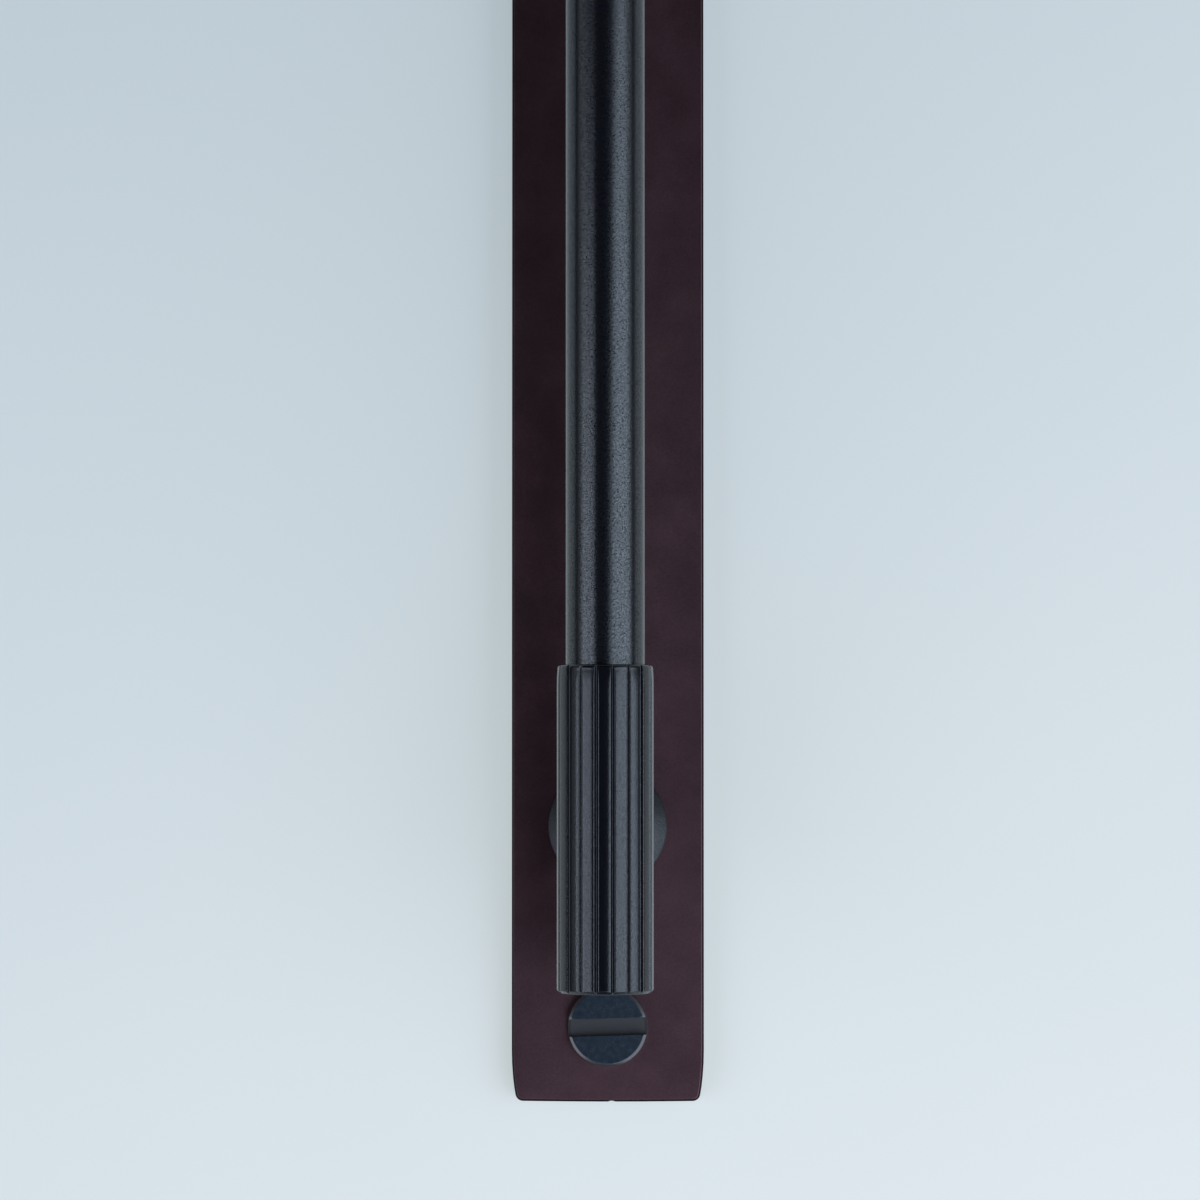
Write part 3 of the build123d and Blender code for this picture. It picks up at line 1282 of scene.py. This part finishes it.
class HANDLE_OT_stage(Operator):
    """Sets the pale door panel, the soft lamps, the room and the camera"""

    bl_idname = "handle.stage"
    bl_label = "Stage"

    def door(self, stage):
        """A pale painted panel behind the plate, open where the plate covers it."""
        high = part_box("backplate")[1]
        half = stage.door_size / 2
        inner_x = high.x - stage.door_window
        inner_z = high.z - stage.door_window
        corners = ((-1, -1), (1, -1), (1, 1), (-1, 1))
        points = [(half * x, stage.door_gap, half * z) for x, z in corners]
        points += [(inner_x * x, stage.door_gap, inner_z * z) for x, z in corners]
        faces = [(k, (k + 1) % 4, 4 + (k + 1) % 4, 4 + k) for k in range(4)]
        panel = new_mesh("door_panel", points, faces)
        panel.data.materials.append(pale_paint_and_painted_light(stage))

    def flags(self, stage):
        """Dark cards at both sides that only reflections see: the dark bands along the bar."""
        card = black_card(stage)
        half = stage.door_size / 2
        front = -stage.card_depth
        for name, side in (("left_flag", -1), ("right_flag", 1)):
            x = side * stage.card_distance
            points = [(x, 0, -half), (x, front, -half), (x, front, half), (x, 0, half)]
            flag = new_mesh(name, points, [(0, 1, 2, 3)])
            flag.data.materials.append(card)
            flag.visible_camera = False
            flag.visible_diffuse = False
            flag.visible_shadow = False

    def way(self, aim):
        """The direction with an azimuth from the viewer and an elevation."""
        azimuth, elevation = aim
        level = math.cos(elevation)
        return Vector((math.sin(azimuth) * level, -math.cos(azimuth) * level, math.sin(elevation)))

    def lamp(self, name, shape, tint, aim, size, distance, level):
        """A softbox that faces the handle; level is its brightness, whatever its size."""
        lamp = bpy.data.lights.new(name, "AREA")
        lamp.shape = shape
        lamp.size, lamp.size_y = size
        lamp.color = tint[:3]
        face = lamp.size * lamp.size_y * (math.pi / 4 if shape == "ELLIPSE" else 1)
        lamp.energy = level * math.pi * face
        softbox = bpy.data.objects.new(name, lamp)
        softbox.location = self.way(aim) * distance
        softbox.rotation_euler = (-self.way(aim)).to_track_quat("-Z", "Y").to_euler()
        softbox.visible_camera = False
        bpy.context.scene.collection.objects.link(softbox)

    def room(self, stage):
        """The room as plain light, pale all round. As a source of light and in reflections it is dark
        behind and above the viewer and straight below, but the camera sees it pale there too."""
        world = bpy.data.worlds.new("room")
        world.use_nodes = True
        tree = world.node_tree
        seen = add_node(tree, "ShaderNodeTexCoord", {}).outputs["Generated"]
        patches = []
        down = (0, 0, -1)
        for axis, reach in ((self.way(stage.shade_aim), stage.shade_reach), (down, stage.ground_reach)):
            facing = add_node(tree, "ShaderNodeVectorMath", {0: seen, 1: axis}, operation="DOT_PRODUCT")
            edges = {"From Min": math.cos(reach[1]), "From Max": math.cos(reach[0])}
            patch = add_node(
                tree,
                "ShaderNodeMapRange",
                {"Value": facing.outputs["Value"], **edges},
                interpolation_type="SMOOTHSTEP",
            )
            patches.append(patch.outputs["Result"])
        both = add_node(tree, "ShaderNodeMath", {0: patches[0], 1: patches[1]}, operation="MAXIMUM")
        path = add_node(tree, "ShaderNodeLightPath", {}).outputs
        dark = add_node(
            tree,
            "ShaderNodeMath",
            {0: both.outputs["Value"], 1: path["Is Camera Ray"]},
            operation="SUBTRACT",
            use_clamp=True,
        )
        shade = add_node(
            tree,
            "ShaderNodeMix",
            {"Factor": dark.outputs["Value"], MIX_FIRST: stage.room_pale, MIX_SECOND: stage.room_dark},
            data_type="RGBA",
        )
        background = tree.nodes["Background"]
        tree.links.new(shade.outputs[MIX_RESULT], background.inputs["Color"])
        background.inputs["Strength"].default_value = stage.room_level
        bpy.context.scene.world = world

    def execute(self, context):
        stage = context.scene.handle_stage
        self.door(stage)
        self.flags(stage)
        far = stage.lamp_distance
        right = (stage.right_tint, stage.right_aim, stage.right_size, far, stage.right_level)
        left = (stage.left_tint, stage.left_aim, stage.left_size, far, stage.left_level)
        self.lamp("right_softbox", "ELLIPSE", *right)
        self.lamp("left_softbox", "RECTANGLE", *left)
        self.room(stage)
        lens = bpy.data.cameras.new("camera")
        lens.lens = stage.camera_lens
        camera = bpy.data.objects.new("camera", lens)
        camera.location = stage.camera_place
        camera.rotation_euler = (QUARTER_TURN + stage.camera_pitch, 0, stage.camera_yaw)
        context.scene.collection.objects.link(camera)
        context.scene.camera = camera
        context.scene.view_settings.view_transform = "Standard"
        return {"FINISHED"}


class HANDLE_PT_sidebar(Panel):
    """Lists the steps that build the handle, and the settings that they use"""

    bl_label = "Cabinet pull handle"
    bl_idname = "HANDLE_PT_sidebar"
    bl_space_type = "VIEW_3D"
    bl_region_type = "UI"
    bl_category = "Handle"

    def draw(self, context):
        column = self.layout.column()
        for step in STEPS:
            column.operator(step.bl_idname)
        for name, group in SETTINGS.items():
            box = self.layout.box()
            box.label(text=group.__doc__)
            for setting in group.__annotations__:
                box.prop(getattr(context.scene, name), setting)


SETTINGS = {
    "handle_plate": HandlePlateSettings,
    "handle_grip": HandleGripSettings,
    "handle_posts": HandlePostSettings,
    "handle_screws": HandleScrewSettings,
    "handle_finishes": HandleFinishSettings,
    "handle_stage": HandleStageSettings,
}
STEPS = (
    HANDLE_OT_backplate,
    HANDLE_OT_grip_bar,
    HANDLE_OT_grip_sleeves,
    HANDLE_OT_posts,
    HANDLE_OT_fasteners,
    HANDLE_OT_stage,
)


def register():
    """Adds the settings to the scene, then the steps and the panel."""
    for name, group in SETTINGS.items():
        bpy.utils.register_class(group)
        setattr(bpy.types.Scene, name, PointerProperty(type=group))
    for step in STEPS:
        bpy.utils.register_class(step)
    bpy.utils.register_class(HANDLE_PT_sidebar)


def unregister():
    """Takes away what register added."""
    bpy.utils.unregister_class(HANDLE_PT_sidebar)
    for step in reversed(STEPS):
        bpy.utils.unregister_class(step)
    for name, group in SETTINGS.items():
        delattr(bpy.types.Scene, name)
        bpy.utils.unregister_class(group)


def main():
    """Builds the handle on its stage."""
    register()
    bpy.ops.handle.backplate()
    bpy.ops.handle.grip_bar()
    bpy.ops.handle.grip_sleeves()
    bpy.ops.handle.posts()
    bpy.ops.handle.fasteners()
    bpy.ops.handle.stage()


if __name__ == "__main__":
    main()
